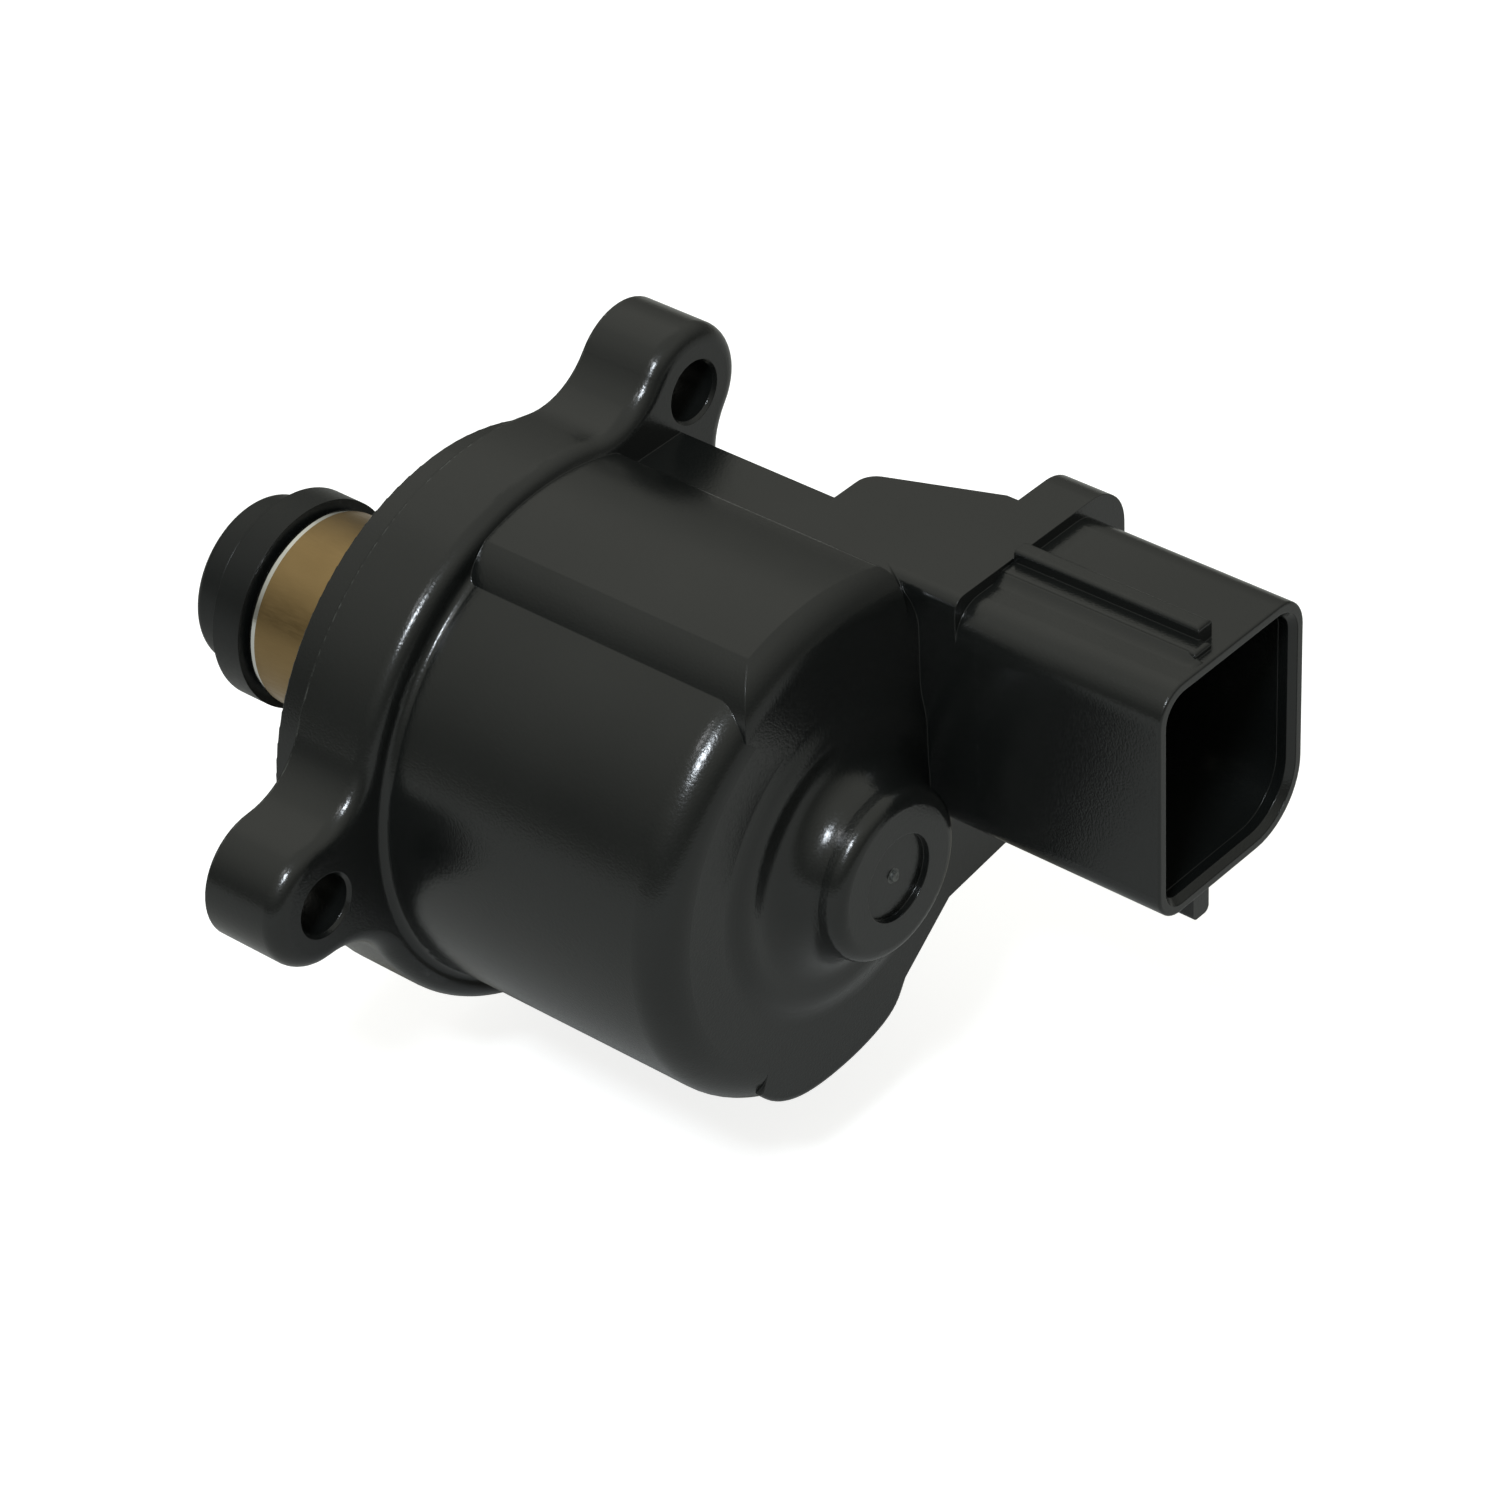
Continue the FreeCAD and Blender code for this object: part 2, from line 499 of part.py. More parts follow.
rear_bush = tube(bush_x0, bush_x1, bush_r1, bush_r0)


nodes = {
    "housing": housing, "guide_sleeve": guide_sleeve, "cover_gasket": cover_gasket, "valve_head": valve_head,
    "lead_screw": lead_screw, "return_spring": tube(spring_x0, spring_x1, spring_r1, spring_r0),
    "front_plate": front_plate, "bearing_outer": bearing_outer, "bearing_inner": bearing_inner,
    "ball_set": ball_set, "rotor_hub": rotor_hub, "ring_magnet": ring_magnet, "rotor_nut": rotor_nut,
    "wave_washer": wave_washer(), "rear_bush": rear_bush,
}
for stack, name in enumerate(("front", "rear")):
    x0 = stack_x0 + stack * stack_l
    turn = stack * stack_turn
    nodes[f"cup_{name}_outer"] = stator_cup(x0, 1, turn)
    nodes[f"cup_{name}_inner"] = stator_cup(x0 + stack_l, -1, turn + 180.0 / claws)
    nodes[f"bobbin_{name}"] = bobbin(x0)
    nodes[f"winding_{name}"] = winding(x0)
nodes.update(terminals)
for name, shape in nodes.items():
    shape.exportStep(f"parts/{name}.step")
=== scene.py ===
import math

import bmesh
import bpy
import numpy as np
from mathutils import Matrix, Vector


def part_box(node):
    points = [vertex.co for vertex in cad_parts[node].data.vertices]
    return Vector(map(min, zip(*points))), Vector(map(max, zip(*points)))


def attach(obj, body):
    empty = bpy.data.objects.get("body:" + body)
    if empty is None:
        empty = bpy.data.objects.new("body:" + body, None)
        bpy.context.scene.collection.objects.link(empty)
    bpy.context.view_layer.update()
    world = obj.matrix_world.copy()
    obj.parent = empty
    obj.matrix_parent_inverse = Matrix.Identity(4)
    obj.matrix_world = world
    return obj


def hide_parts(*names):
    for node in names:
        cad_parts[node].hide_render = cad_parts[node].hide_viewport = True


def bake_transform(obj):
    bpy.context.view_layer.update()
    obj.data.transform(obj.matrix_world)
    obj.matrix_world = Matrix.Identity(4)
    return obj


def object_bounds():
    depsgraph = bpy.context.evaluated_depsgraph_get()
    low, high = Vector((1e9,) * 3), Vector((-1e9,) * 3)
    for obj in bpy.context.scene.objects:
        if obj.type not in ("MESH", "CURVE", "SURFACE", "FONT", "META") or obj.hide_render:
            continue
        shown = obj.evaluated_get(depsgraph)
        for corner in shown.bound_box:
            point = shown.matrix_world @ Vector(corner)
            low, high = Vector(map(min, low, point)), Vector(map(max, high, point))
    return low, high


# Idle air control valve. All lengths are metres in the part's own frame: the motor axis is X, the valve
# nose points to -X and the connector mouth to +X, +Y is the connector side and +Z up. X = 0 lies in the
# pilot spigot, 1.05 mm in front of the ears' bolting faces.
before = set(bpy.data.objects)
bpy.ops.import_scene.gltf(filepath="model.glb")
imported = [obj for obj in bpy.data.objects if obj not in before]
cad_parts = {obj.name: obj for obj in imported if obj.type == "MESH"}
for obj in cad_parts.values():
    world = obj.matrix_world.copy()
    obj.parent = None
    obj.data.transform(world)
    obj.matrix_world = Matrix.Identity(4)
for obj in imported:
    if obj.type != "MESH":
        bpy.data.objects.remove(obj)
cad_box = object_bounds()
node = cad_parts
mm = 0.001


# The housing is one moulding of black glass-filled nylon: motor body, flange, ears, web and connector
# shroud. The tool's fine spark texture and the fibres under the skin give it a satin face with a fine
# grain, and the draft lets it out of the tool along X.
def material(name):
    """A new node material, with its tree and its Principled shader."""
    made = bpy.data.materials.new(name)
    made.use_nodes = True
    return made, made.node_tree, made.node_tree.nodes["Principled BSDF"]


def noise(tree, per_metre, detail=2.0, stretch=(1.0, 1.0, 1.0)):
    """Smooth noise of 0 to 1 on Object coordinates, per_metre features to the metre times stretch."""
    place = tree.nodes.new("ShaderNodeTexCoord")
    scale = tree.nodes.new("ShaderNodeMapping")
    scale.inputs["Scale"].default_value = stretch
    field = tree.nodes.new("ShaderNodeTexNoise")
    field.inputs["Scale"].default_value = per_metre
    field.inputs["Detail"].default_value = detail
    tree.links.new(place.outputs["Object"], scale.inputs["Vector"])
    tree.links.new(scale.outputs["Vector"], field.inputs["Vector"])
    return field.outputs["Fac"]


def spread(tree, value, low, high, at=(0.35, 0.65)):
    """The value's range at stretched to low..high, held at both ends."""
    span = tree.nodes.new("ShaderNodeMapRange")
    for key, number in (("From Min", at[0]), ("From Max", at[1]), ("To Min", low), ("To Max", high)):
        span.inputs[key].default_value = number
    tree.links.new(value, span.inputs["Value"])
    return span.outputs["Result"]


def two_tone(tree, value, first, second):
    """A colour between first and second as the value goes from 0 to 1."""
    mix = tree.nodes.new("ShaderNodeMix")
    mix.data_type = "RGBA"
    mix.inputs["A"].default_value = (*first, 1.0)
    mix.inputs["B"].default_value = (*second, 1.0)
    tree.links.new(value, mix.inputs["Factor"])
    return mix.outputs["Result"]


def relief(tree, shader, height, depth, under=None):
    """Bump of the given depth in metres from a height of 0 to 1, on top of the bump under."""
    dent = tree.nodes.new("ShaderNodeBump")
    dent.inputs["Strength"].default_value = 1.0
    dent.inputs["Distance"].default_value = depth
    tree.links.new(height, dent.inputs["Height"])
    if under is not None:
        tree.links.new(under, dent.inputs["Normal"])
    tree.links.new(dent.outputs["Normal"], shader.inputs["Normal"])
    return dent.outputs["Normal"]


def dress(name, finish):
    """Gives a CAD node its finish in every material slot."""
    slots = node[name].data.materials
    if not slots:
        slots.append(finish)
    for i in range(len(slots)):
        slots[i] = finish


def moulded_nylon(name, dark, light, rough, texture_depth, texture_per_metre=2600):
    """Satin plastic: cloudy colour from wide noise, the tool's fine texture as grain in roughness and
    bump, and sharp edges that catch the light as if they were slightly rounded."""
    clouds_per_metre, edge_r = 70, 0.12 * mm
    made, tree, shader = material(name)
    cloud = spread(tree, noise(tree, clouds_per_metre, 4.0), 0.0, 1.0)
    tree.links.new(two_tone(tree, cloud, dark, light), shader.inputs["Base Color"])
    grain = noise(tree, texture_per_metre, 3.0)
    tree.links.new(spread(tree, grain, rough[0], rough[1]), shader.inputs["Roughness"])
    soft_edge = tree.nodes.new("ShaderNodeBevel")
    soft_edge.samples = 6
    soft_edge.inputs["Radius"].default_value = edge_r
    relief(tree, shader, grain, texture_depth, soft_edge.outputs["Normal"])
    return made


def near_x(tree, x, half_width):
    """1 within half_width of the plane at x on the Object coordinates, and 0 beyond."""
    place = tree.nodes.new("ShaderNodeTexCoord")
    axes = tree.nodes.new("ShaderNodeSeparateXYZ")
    gap = tree.nodes.new("ShaderNodeMath")
    gap.operation = "COMPARE"
    gap.inputs[1].default_value, gap.inputs[2].default_value = x, half_width
    tree.links.new(place.outputs["Object"], axes.inputs["Vector"])
    tree.links.new(axes.outputs["X"], gap.inputs[0])
    return gap.outputs["Value"]


def near_point(tree, point, radius):
    """1 within radius of the point on the Object coordinates, and 0 beyond."""
    place = tree.nodes.new("ShaderNodeTexCoord")
    away = tree.nodes.new("ShaderNodeVectorMath")
    away.operation = "DISTANCE"
    away.inputs[1].default_value = point
    inside = tree.nodes.new("ShaderNodeMath")
    inside.operation = "LESS_THAN"
    inside.inputs[1].default_value = radius
    tree.links.new(place.outputs["Object"], away.inputs[0])
    tree.links.new(away.outputs["Value"], inside.inputs[0])
    return inside.outputs["Value"]


def product(tree, first, second):
    """The two values multiplied."""
    times = tree.nodes.new("ShaderNodeMath")
    times.operation = "MULTIPLY"
    tree.links.new(first, times.inputs[0])
    tree.links.new(second, times.inputs[1])
    return times.outputs["Value"]


def paint_over(tree, socket_name, mask, colour_or_value):
    """Lays a colour or a value over what the shader's socket has, where the mask is 1."""
    socket = tree.nodes["Principled BSDF"].inputs[socket_name]
    over = tree.nodes.new("ShaderNodeMix")
    over.data_type = "RGBA" if socket.type == "RGBA" else "FLOAT"
    over.inputs["B"].default_value = (*colour_or_value, 1.0) if socket.type == "RGBA" else colour_or_value
    tree.links.new(mask, over.inputs["Factor"])
    tree.links.new(socket.links[0].from_socket, over.inputs["A"])
    tree.links.new(over.outputs["Result"], socket)


black_moulding = moulded_nylon("black_moulding", dark=(0.0050, 0.0058, 0.0056),
                               light=(0.0072, 0.0080, 0.0076), rough=(0.16, 0.24), texture_depth=1.6e-5,
                               texture_per_metre=4600)
moulding_tree = black_moulding.node_tree

# A broken lighter line is painted round the flange's front edge as a painted highlight, where the sharp
# edge catches no light of its own. A parting line of the tool shows as a broken lighter line across the
# root of the shroud. The gate's scar in the boss's recess is a rough pale spot.
# Painted highlight: a lighter line along the flange's front edge, standing in for the light on that edge.
flange_edge_highlight = (1.17 * mm, (0.46, 0.68), (0.045, 0.048, 0.044))
shroud_line = (46.3 * mm, (0.45, 0.75), (0.017, 0.018, 0.018))
line_half_width, breaks_per_metre = 0.06 * mm, 1500
# The flange's line is a painted highlight; the shroud's line is a parting line.
for line_x, broken_at, line_colour in (flange_edge_highlight, shroud_line):
    broken = spread(moulding_tree, noise(moulding_tree, breaks_per_metre, 3.0), 0.0, 1.0, broken_at)
    line = product(moulding_tree, near_x(moulding_tree, line_x, line_half_width), broken)
    paint_over(moulding_tree, "Base Color", line, line_colour)

gate_centre, gate_scar_r, pits_per_metre = (45.75 * mm, 0.0, 0.0), 0.75 * mm, 3000
scar_colour, scar_roughness = (0.10, 0.105, 0.10), 0.5
pits = spread(moulding_tree, noise(moulding_tree, pits_per_metre, 3.0), 0.3, 1.0, (0.4, 0.6))
gate_scar = product(moulding_tree, near_point(moulding_tree, gate_centre, gate_scar_r), pits)
paint_over(moulding_tree, "Base Color", gate_scar, scar_colour)
paint_over(moulding_tree, "Roughness", gate_scar, scar_roughness)
dress("housing", black_moulding)


# The guide sleeve is drawn from thin steel and plated yellow, with its end rolled over to a bright lip.
# Its cover flange is held in the spigot and closes the motor.
def plated_steel(name, dark, light, rough, streak=(1.0, 9.0, 9.0)):
    """Drawn and plated metal: cloudy plating colour, and fine draw lines along X in roughness and relief.
    """
    made, tree, shader = material(name)
    shader.inputs["Metallic"].default_value = 1.0
    clouds_per_metre, lines_per_metre, line_depth = 160, 700, 2e-6
    cloud = spread(tree, noise(tree, clouds_per_metre, 3.0), 0.0, 1.0)
    tree.links.new(two_tone(tree, cloud, dark, light), shader.inputs["Base Color"])
    lines = noise(tree, lines_per_metre, 2.0, streak)
    tree.links.new(spread(tree, lines, rough[0], rough[1]), shader.inputs["Roughness"])
    relief(tree, shader, lines, line_depth)
    return made


yellow_plate = plated_steel("yellow_plated_sleeve", dark=(0.27, 0.184, 0.083), light=(0.31, 0.213, 0.098),
                            rough=(0.28, 0.40))
sleeve_tree = yellow_plate.node_tree
sleeve_end, lip_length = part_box("guide_sleeve")[0].x, 1.0 * mm
lip_colour, lip_roughness = (0.66, 0.66, 0.63), 0.10
lip = near_x(sleeve_tree, sleeve_end, lip_length)
paint_over(sleeve_tree, "Base Color", lip, lip_colour)
paint_over(sleeve_tree, "Roughness", lip, lip_roughness)
dress("guide_sleeve", yellow_plate)


# The valve nose is a black moulding, duller than the housing, with a collar behind its cap. It slides in
# the guide sleeve's mouth and closes the air port.
nose_moulding = moulded_nylon("valve_moulding", dark=(0.0034, 0.0042, 0.0042),
                              light=(0.0056, 0.0066, 0.0066), rough=(0.34, 0.40), texture_depth=6e-6)
nose_shader = nose_moulding.node_tree.nodes["Principled BSDF"]
nose_shader.inputs["Specular IOR Level"].default_value = 0.32
dress("valve_head", nose_moulding)


# The cover gasket is a flat ring of black nitrile rubber, punched from sheet. It is pinched between the
# cover flange and its seat in the spigot.
rubber_dark, rubber_light, rubber_roughness = (0.010, 0.010, 0.010), (0.022, 0.021, 0.020), 0.62
rubber_clouds_per_metre, rubber_grain_per_metre, rubber_grain_depth = 400, 1800, 6e-6
rubber, rubber_tree, rubber_shader = material("gasket_rubber")
rubber_cloud = spread(rubber_tree, noise(rubber_tree, rubber_clouds_per_metre, 3.0), 0.0, 1.0)
rubber_tree.links.new(two_tone(rubber_tree, rubber_cloud, rubber_dark, rubber_light),
                      rubber_shader.inputs["Base Color"])
rubber_shader.inputs["Roughness"].default_value = rubber_roughness
relief(rubber_tree, rubber_shader, noise(rubber_tree, rubber_grain_per_metre, 2.0), rubber_grain_depth)
dress("cover_gasket", rubber)


# The lead screw is ground steel with a thread rolled on its rear half. Two flats keep it from turning in
# the front plate, and its plain end is fixed in the nose.
ground_steel = plated_steel("ground_steel", dark=(0.46, 0.46, 0.45), light=(0.56, 0.56, 0.56),
                            rough=(0.22, 0.34), streak=(9.0, 1.0, 1.0))
dress("lead_screw", ground_steel)


# The return spring is wound from round spring wire, its end turns closed. It pushes between the front
# plate and the nose's floor, so it lengthens as the nose moves out.
def grid_mesh(name, points, wrap_u=False, wrap_v=False, caps=False):
    """Mesh over an array of points [u, v, 3]: quads between neighbours, closed round u or v where asked.
    caps closes both ends of u with one face each. The faces turn round where u or v is reversed, which is
    how some callers make them point outwards."""
    nu, nv = points.shape[:2]
    index = np.arange(nu * nv).reshape(nu, nv)
    u = np.arange(nu if wrap_u else nu - 1)
    v = np.arange(nv if wrap_v else nv - 1)
    a, b = np.meshgrid(u, v, indexing="ij")
    a2, b2 = (a + 1) % nu, (b + 1) % nv
    quads = np.stack([index[a, b], index[a2, b], index[a2, b2], index[a, b2]], -1).reshape(-1, 4).tolist()
    if caps:
        quads += [index[0].tolist(), index[-1][::-1].tolist()]
    mesh = bpy.data.meshes.new(name)
    mesh.from_pydata(points.reshape(-1, 3).tolist(), [], quads)
    mesh.validate()
    return mesh


def piece(name, mesh, finish):
    """A new smooth object at the origin from a mesh, with its finish."""
    made = bpy.data.objects.new(name, mesh)
    bpy.context.scene.collection.objects.link(made)
    mesh.materials.append(finish)
    mesh.shade_smooth()
    return made


def coil_points(x_start, x_end, coil_r, wire_r, turns, closed_turns, per_turn, around):
    """Round wire along a helix about X. The centre line climbs by one wire in each of the closed_turns at
    both ends and evenly between them, and each wire circle stands square to the line."""
    t = np.linspace(0.0, turns, int(turns * per_turn) + 1)
    rise = np.clip((t - closed_turns) / (turns - 2 * closed_turns), 0.0, 1.0)
    lay = 2 * wire_r * (np.minimum(t, closed_turns) + np.clip(t - turns + closed_turns, 0, None))
    free = (x_end - x_start) - 2 * wire_r - lay[-1]
    x = x_start + wire_r + lay + free * rise
    angle = 2 * np.pi * t
    line = np.stack([x, coil_r * np.cos(angle), coil_r * np.sin(angle)], -1)
    along = np.gradient(line, axis=0)
    along /= np.linalg.norm(along, axis=1, keepdims=True)
    outward = np.stack([np.zeros_like(x), np.cos(angle), np.sin(angle)], -1)
    side = np.cross(along, outward)
    side /= np.linalg.norm(side, axis=1, keepdims=True)
    out = np.cross(side, along)
    w = np.linspace(0, 2 * np.pi, around, endpoint=False)
    return (line[:, None] + wire_r * (np.cos(w)[None, :, None] * out[:, None]
                                      + np.sin(w)[None, :, None] * side[:, None]))


spring_lo, spring_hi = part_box("return_spring")
spring_r, wire_r = spring_hi.y, 0.40 * mm
spring_turns, closed_turns = 8.5, 1.0
steps_per_turn, wire_sides = 48, 12
spring_steel = plated_steel("spring_wire", dark=(0.40, 0.40, 0.39), light=(0.50, 0.50, 0.50),
                            rough=(0.28, 0.40), streak=(1.0, 1.0, 1.0))
spring_grid = coil_points(spring_lo.x, spring_hi.x, spring_r - wire_r, wire_r, spring_turns, closed_turns,
                          steps_per_turn, wire_sides)
spring_mesh = grid_mesh("return_spring_coil", spring_grid[:, ::-1], wrap_v=True, caps=True)
spring = piece("return_spring_coil", spring_mesh, spring_steel)
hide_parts("return_spring")
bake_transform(spring)


# The front plate is turned steel, zinc plated. It closes the motor, seats the bearing and guides the
# screw's flats in a double-D hole.
zinc_plate = plated_steel("zinc_steel", dark=(0.50, 0.51, 0.52), light=(0.62, 0.63, 0.64),
                          rough=(0.30, 0.44), streak=(1.0, 4.0, 4.0))
dress("front_plate", zinc_plate)


# The front bearing has two ground steel races with a ring of balls between them, and sits in its seat on
# the front plate. The cage that keeps the balls apart isn't drawn.
bearing_steel = plated_steel("bearing_steel", dark=(0.55, 0.55, 0.55), light=(0.62, 0.62, 0.62),
                             rough=(0.12, 0.20), streak=(6.0, 1.0, 1.0))
dress("bearing_outer", bearing_steel)
dress("bearing_inner", bearing_steel)


def ball_points(centre, radius, rings=13, around=20):
    """Sphere as circles of latitude about X; the first and last circle have radius 0."""
    lat = np.linspace(0, np.pi, rings)[:, None]
    lon = np.linspace(0, 2 * np.pi, around, endpoint=False)[None, :]
    return np.array(centre) + radius * np.stack(
        [np.cos(lat) * np.ones_like(lon), np.sin(lat) * np.cos(lon), np.sin(lat) * np.sin(lon)], -1)


def joined(name, meshes):
    """One mesh from several, with points that fall together merged."""
    whole = bpy.data.meshes.new(name)
    places, faces, first = [], [], 0
    for part in meshes:
        place = np.empty(len(part.vertices) * 3)
        part.vertices.foreach_get("co", place)
        places.append(place.reshape(-1, 3))
        faces += [[first + i for i in face.vertices] for face in part.polygons]
        first += len(part.vertices)
    whole.from_pydata(np.concatenate(places).tolist(), [], faces)
    work = bmesh.new()
    work.from_mesh(whole)
    bmesh.ops.remove_doubles(work, verts=work.verts, dist=1e-7)
    work.to_mesh(whole)
    work.free()
    return whole


race_gap_lo, race_gap_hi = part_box("bearing_inner")[1].z, 6.3 * mm
ball_fill = 0.98
ball_r = ball_fill * (race_gap_hi - race_gap_lo) / 2
pitch_r = (race_gap_hi + race_gap_lo) / 2
ball_lo, ball_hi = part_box("ball_set")
ball_x = (ball_lo.x + ball_hi.x) / 2
ball_count = 14
ball_angles = 2 * np.pi * np.arange(ball_count) / ball_count
ball_centres = [(ball_x, pitch_r * math.cos(a), pitch_r * math.sin(a)) for a in ball_angles]
ball_meshes = [grid_mesh("ball", ball_points(centre, ball_r), wrap_v=True) for centre in ball_centres]
balls = piece("bearing_balls", joined("bearing_balls", ball_meshes), bearing_steel)
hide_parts("ball_set")
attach(balls, "valve_body")


# The rotor is a hub of pale nylon with a sintered ferrite ring on it and a brass nut moulded into it. The
# nut runs on the lead screw, and the ferrite's poles face the stator's claws.
pale_nylon = moulded_nylon("rotor_moulding", dark=(0.60, 0.57, 0.48), light=(0.70, 0.67, 0.58),
                           rough=(0.40, 0.50), texture_depth=3e-6)
dress("rotor_hub", pale_nylon)

ferrite = moulded_nylon("ferrite", dark=(0.040, 0.040, 0.043), light=(0.065, 0.065, 0.070),
                        rough=(0.50, 0.65), texture_depth=8e-6, texture_per_metre=1500)
dress("ring_magnet", ferrite)

nut_brass = plated_steel("nut_brass", dark=(0.60, 0.42, 0.17), light=(0.70, 0.52, 0.24),
                         rough=(0.22, 0.34), streak=(6.0, 1.0, 1.0))
dress("rotor_nut", nut_brass)


# The wave washer is pressed from spring strip and pushes the rotor forward; behind it the rear bush is
# sintered bronze, soaked in oil.
dress("wave_washer", spring_steel)

bronze = moulded_nylon("sintered_bronze", dark=(0.26, 0.15, 0.07), light=(0.38, 0.24, 0.12),
                       rough=(0.38, 0.55), texture_depth=10e-6, texture_per_metre=1800)
bronze.node_tree.nodes["Principled BSDF"].inputs["Metallic"].default_value = 1.0
dress("rear_bush", bronze)


# The stator is two stacks, each a wound bobbin between two claw-pole cups pressed from zinc-plated iron.
# The rear stack is turned from the front one by half the step between the claws of a stack.
for stack in ("front", "rear"):
    dress(f"cup_{stack}_outer", zinc_plate)
    dress(f"cup_{stack}_inner", zinc_plate)

bobbin_nylon = moulded_nylon("bobbin_nylon", dark=(0.66, 0.62, 0.52), light=(0.76, 0.72, 0.62),
                             rough=(0.38, 0.48), texture_depth=3e-6)
dress("bobbin_front", bobbin_nylon)
dress("bobbin_rear", bobbin_nylon)


# Each coil is enamelled copper wire, wound on its bobbin in close layers, so its outside is a row of
# rounded turns. Its inside lies on the bobbin's core.
enamel_dark, enamel_light = (0.42, 0.13, 0.035), (0.55, 0.20, 0.06)
enamel_metallic, enamel_roughness, enamel_coat = 0.8, 0.28, 0.5
enamel_clouds_per_metre, strands_per_metre, strand_depth, strand_stretch = 300, 900, 4e-6, (6.0, 1.0, 1.0)
enamel, enamel_tree, enamel_shader = material("copper_winding")
enamel_cloud = spread(enamel_tree, noise(enamel_tree, enamel_clouds_per_metre, 3.0), 0.0, 1.0)
enamel_tree.links.new(two_tone(enamel_tree, enamel_cloud, enamel_dark, enamel_light),
                      enamel_shader.inputs["Base Color"])
enamel_shader.inputs["Metallic"].default_value = enamel_metallic
enamel_shader.inputs["Roughness"].default_value = enamel_roughness
enamel_shader.inputs["Coat Weight"].default_value = enamel_coat
strands = noise(enamel_tree, strands_per_metre, 2.0, strand_stretch)
relief(enamel_tree, enamel_shader, strands, strand_depth)


def coil_pack_points(x0, x1, r_in, r_out, turns, per_turn=6, around=72):
    """Closed section revolved about X: a straight inside and a scalloped outside, one arc a turn."""
    t = np.linspace(0, turns, turns * per_turn + 1)
    x = x0 + (x1 - x0) * t / turns
    depth = 0.5 * (x1 - x0) / turns
    r = r_out - depth * (1 - np.abs(np.sin(np.pi * t)))
    x = np.concatenate([x, [x1, x0]])
    r = np.concatenate([r, [r_in, r_in]])
    a = np.linspace(0, 2 * np.pi, around, endpoint=False)
    return np.stack([x[:, None] * np.ones_like(a), r[:, None] * np.cos(a), r[:, None] * np.sin(a)], -1)


coil_inner_r, turns_per_layer = 10.95 * mm, 26
for stack in ("front", "rear"):
    lo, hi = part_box(f"winding_{stack}")
    pack_grid = coil_pack_points(lo.x, hi.x, coil_inner_r, hi.y, turns_per_layer)
    coil = piece(f"coil_{stack}", grid_mesh(f"coil_{stack}", pack_grid[::-1], wrap_u=True, wrap_v=True),
                 enamel)
    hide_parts(f"winding_{stack}")
    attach(coil, "valve_body")


# The terminals are stamped from brass strip and tinned, with a coined tip in the socket. Each is moulded
# into the housing, with a leg that runs forward to its coil.
tinned = plated_steel("tinned_brass", dark=(0.58, 0.56, 0.52), light=(0.68, 0.66, 0.61),
                      rough=(0.24, 0.36), streak=(1.0, 8.0, 8.0))
for column in "ab":
    for row in (1, 2, 3):
        dress(f"terminal_{column}{row}", tinned)


# The socket's mouth widens to a lead-in for the plug's seal. It is part of the black moulding: a ring
# that fills the step behind the rim and slopes at 45 degrees from the rim to the socket's wall.
def rounded_outline(y0, y1, z0, z1, radii, per_corner=13):
    """Rounded rectangle: a quarter circle at each corner, counter-clockwise from the lower left one, with
    straight runs between them. Each centre lies its radius in from both sides."""
    r = np.array(radii)
    centres = np.array([[y0 + r[0], z0 + r[0]], [y1 - r[1], z0 + r[1]], [y1 - r[2], z1 - r[2]],
                        [y0 + r[3], z1 - r[3]]])
    angles = np.radians(np.array([180, 270, 0, 90])[:, None] + np.linspace(0, 90, per_corner)[None, :])
    arcs = centres[:, None] + r[:, None, None] * np.stack([np.cos(angles), np.sin(angles)], -1)
    return arcs.reshape(-1, 2)


def lip_points(profile, sides, radii, gain):
    """The profile's points, each an x and a depth into the wall, carried round the shroud's outline: the
    outline moves in by the depth and its radii shrink by depth less gain."""
    rows = []
    for x, depth in profile:
        y0, y1, z0, z1 = sides
        corner_radii = [r - depth + gain for r in radii]
        ring = rounded_outline(y0 + depth, y1 - depth, z0 + depth, z1 - depth, corner_radii)
        rows.append(np.column_stack([np.full(len(ring), x), ring]))
    return np.stack(rows)


shroud_sides = np.array([10.6, 30.6, -3.1, 20.25]) * mm
shroud_radii = np.array([3.0, 6.3, 3.5, 3.2]) * mm
socket_radius_gain = 0.2 * mm
lead_in_profile = np.array([(65.19, 0.80), (63.55, 0.80), (63.55, 1.38), (64.60, 1.42)]) * mm
lead_in_grid = lip_points(lead_in_profile, shroud_sides, shroud_radii, socket_radius_gain)
lead_in_mesh = grid_mesh("socket_lead_in", lead_in_grid, wrap_u=True, wrap_v=True)
lead_in = piece("socket_lead_in", lead_in_mesh, black_moulding)
sharp_angle = math.radians(25)
lead_in_mesh.set_sharp_from_angle(angle=sharp_angle)
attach(lead_in, "valve_body")


# The ledge beside the connector's rib runs out into the shroud's top in a hollow slope, which is moulded
# with it and flattens before the mouth.
def slope_points(xs, foot, top, power, flat_from, flat_to, sunk):
    """Section carried along X. Its upper side climbs from foot to top, each a y and a z, as t to the
    power while t goes from 0 to 1 across; past flat_from the climb falls by a smooth step to 0 at
    flat_to. Its underside lies sunk below the foot."""
    t = np.linspace(0.0, 1.0, 11)
    fall = np.clip((xs - flat_from) / (flat_to - flat_from), 0.0, 1.0)
    climb = (top[1] - foot[1]) * (1 - fall * fall * (3 - 2 * fall))
    y = np.concatenate([foot[0] + (top[0] - foot[0]) * t, [top[0], foot[0]]])
    z = np.column_stack([foot[1] + climb[:, None] * t ** power, np.full((len(xs), 2), foot[1] - sunk)])
    return np.stack([np.broadcast_to(xs[:, None], z.shape), np.broadcast_to(y, z.shape), z], -1)


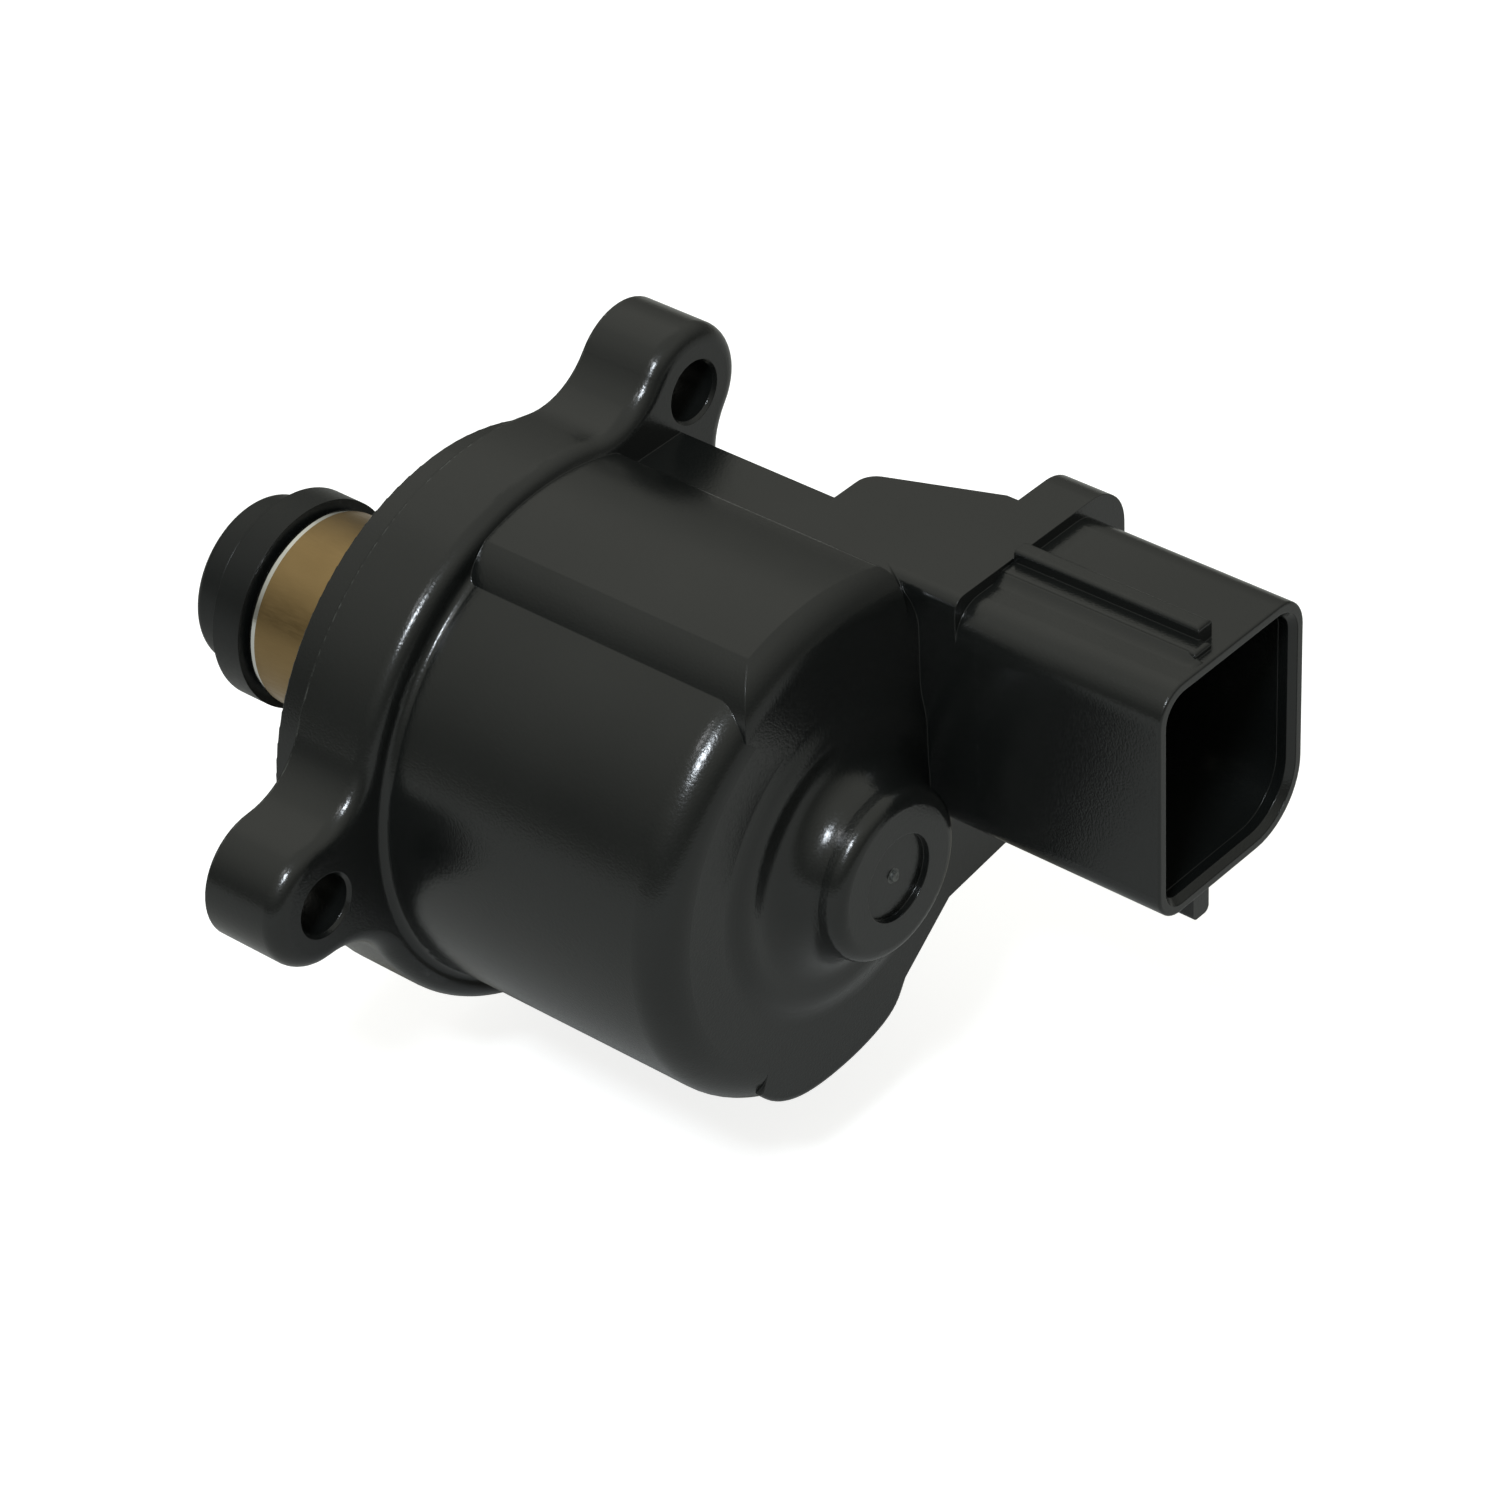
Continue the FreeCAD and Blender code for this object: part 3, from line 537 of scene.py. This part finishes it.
slope_xs = np.linspace(43.9, 64.9, 43) * mm
slope_foot, slope_top = np.array([15.5, 20.24]) * mm, np.array([17.0, 20.85]) * mm
slope_power, slope_sunk = 1.7, 0.3 * mm
slope_flat_from, slope_flat_to = 63.4 * mm, 64.8 * mm
slope_grid = slope_points(slope_xs, slope_foot, slope_top, slope_power, slope_flat_from, slope_flat_to,
                          slope_sunk)
slope_mesh = grid_mesh("ledge_slope", slope_grid, caps=True, wrap_v=True)
ledge_slope = piece("ledge_slope", slope_mesh, black_moulding)
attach(ledge_slope, "valve_body")


# The stage is a white sheet a millimetre below the valve. The valve isn't turned to lie on it, and keeps
# its own frame as if held by its flange.
def stage_material(name, own_white):
    """Diffuse white with a white of its own added for the camera alone, so that the shadow stays pale.
    From below, the camera looks through the sheet."""
    made, tree, shader = material(name)
    shader.inputs["Base Color"].default_value = (0.51, 0.51, 0.50, 1.0)
    shader.inputs["Roughness"].default_value = 0.9
    shader.inputs["Specular IOR Level"].default_value = 0.2
    ray = tree.nodes.new("ShaderNodeLightPath")
    share = tree.nodes.new("ShaderNodeMath")
    share.operation = "MULTIPLY"
    share.inputs[1].default_value = own_white
    glow = tree.nodes.new("ShaderNodeEmission")
    both = tree.nodes.new("ShaderNodeAddShader")
    tree.links.new(ray.outputs["Is Camera Ray"], share.inputs[0])
    tree.links.new(share.outputs["Value"], glow.inputs["Strength"])
    tree.links.new(shader.outputs["BSDF"], both.inputs[0])
    tree.links.new(glow.outputs["Emission"], both.inputs[1])
    face = tree.nodes.new("ShaderNodeNewGeometry")
    clear = tree.nodes.new("ShaderNodeBsdfTransparent")
    sheet = tree.nodes.new("ShaderNodeMixShader")
    from_below = product(tree, ray.outputs["Is Camera Ray"], face.outputs["Backfacing"])
    tree.links.new(from_below, sheet.inputs["Fac"])
    tree.links.new(both.outputs["Shader"], sheet.inputs[1])
    tree.links.new(clear.outputs["BSDF"], sheet.inputs[2])
    tree.links.new(sheet.outputs["Shader"], tree.nodes["Material Output"].inputs["Surface"])
    return made


floor_gap, floor_half = 1.0 * mm, 6.0
floor_z = cad_box[0].z - floor_gap
floor_corners = [(-floor_half, -floor_half, floor_z), (floor_half, -floor_half, floor_z),
                 (floor_half, floor_half, floor_z), (-floor_half, floor_half, floor_z)]
floor_mesh = bpy.data.meshes.new("floor")
floor_mesh.from_pydata(floor_corners, [], [(0, 1, 2, 3)])
floor_mesh.materials.append(stage_material("white_sheet", 0.79))
floor = bpy.data.objects.new("floor", floor_mesh)
bpy.context.scene.collection.objects.link(floor)


# The room is a pale tent that lights the valve from all round, brighter overhead than at the horizon. To
# the camera alone it is plain white.
def tent(low, high, level_low, level_high):
    """World radiance that rises from low at height level_low of the direction to high at level_high."""
    world = bpy.data.worlds.new("tent")
    bpy.context.scene.world = world
    world.use_nodes = True
    tree = world.node_tree
    place = tree.nodes.new("ShaderNodeTexCoord")
    axes = tree.nodes.new("ShaderNodeSeparateXYZ")
    tree.links.new(place.outputs["Generated"], axes.inputs["Vector"])
    room = tree.nodes["Background"]
    room.inputs["Color"].default_value = (0.99, 1.0, 0.90, 1.0)
    tree.links.new(spread(tree, axes.outputs["Z"], low, high, (level_low, level_high)),
                   room.inputs["Strength"])
    seen = tree.nodes.new("ShaderNodeBackground")
    seen.inputs["Strength"].default_value = 1.0
    seen.inputs["Color"].default_value = (1.0, 1.0, 1.0, 1.0)
    eye = tree.nodes.new("ShaderNodeLightPath")
    which = tree.nodes.new("ShaderNodeMixShader")
    tree.links.new(eye.outputs["Is Camera Ray"], which.inputs["Fac"])
    tree.links.new(room.outputs["Background"], which.inputs[1])
    tree.links.new(seen.outputs["Background"], which.inputs[2])
    tree.links.new(which.outputs["Shader"], tree.nodes["World Output"].inputs["Surface"])


tent(low=0.20, high=0.72, level_low=0.20, level_high=0.80)


# Three lamps hang in the tent: a wide sheet beyond the valve, and two small ones on the camera's side of
# it, which give the sharp streaks on the body's rims.
middle = (Vector(cad_box[0]) + Vector(cad_box[1])) / 2


def lamp_at(name, azimuth_deg, elevation_deg, distance, width, height, watts, colour):
    """Rectangular area lamp seen from the valve's middle in the given direction, facing it. Azimuth turns
    from +X to +Y."""
    a, e = math.radians(azimuth_deg), math.radians(elevation_deg)
    toward_lamp = Vector((math.cos(e) * math.cos(a), math.cos(e) * math.sin(a), math.sin(e)))
    data = bpy.data.lights.new(name, "AREA")
    data.shape, data.size, data.size_y = "RECTANGLE", width, height
    data.energy, data.color = watts, colour
    made = bpy.data.objects.new(name, data)
    made.location = middle + toward_lamp * distance
    made.rotation_euler = toward_lamp.to_track_quat("Z", "Y").to_euler()
    bpy.context.scene.collection.objects.link(made)
    made.visible_camera = False
    return made


lamp_at("far_sheet", azimuth_deg=150.0, elevation_deg=50.0, distance=1.0, width=0.75, height=0.55,
        watts=0.14, colour=(1.0, 0.97, 0.88))
lamp_at("near_lamp", azimuth_deg=296.0, elevation_deg=52.0, distance=0.9, width=0.15, height=0.12,
        watts=4.4, colour=(0.86, 0.93, 1.0))
lamp_at("side_lamp", azimuth_deg=255.0, elevation_deg=60.0, distance=0.9, width=0.10, height=0.10,
        watts=0.35, colour=(0.95, 0.97, 1.0))


# The photograph was taken from the connector's open end, from above, with the camera tilted a little. The
# camera's place and lens come from fitting the part's circles and edges to it.
azimuth, elevation, tilt = (math.radians(a) for a in (41.966, 36.299, 3.156))
aim_point = Vector((18.99, 12.52, -6.07)) * mm
camera_distance = 489.0 * mm
focal_length, sensor_width = 133.58, 36.0
toward = Vector((math.sin(azimuth) * math.cos(elevation), -math.cos(azimuth) * math.cos(elevation),
                 math.sin(elevation)))
level = Vector((math.cos(azimuth), math.sin(azimuth), 0.0))
upward = toward.cross(level)
right = level * math.cos(tilt) - upward * math.sin(tilt)
up = level * math.sin(tilt) + upward * math.cos(tilt)
camera_data = bpy.data.cameras.new("photo_camera")
camera_data.lens, camera_data.sensor_width = focal_length, sensor_width
camera_data.clip_start, camera_data.clip_end = 0.01, 50.0
camera = bpy.data.objects.new("photo_camera", camera_data)
camera.matrix_world = Matrix.Translation(aim_point + toward * camera_distance) @ Matrix(
    (right, up, toward)).transposed().to_4x4()
bpy.context.scene.collection.objects.link(camera)
bpy.context.scene.camera = camera
bpy.context.scene.view_settings.view_transform = "Standard"
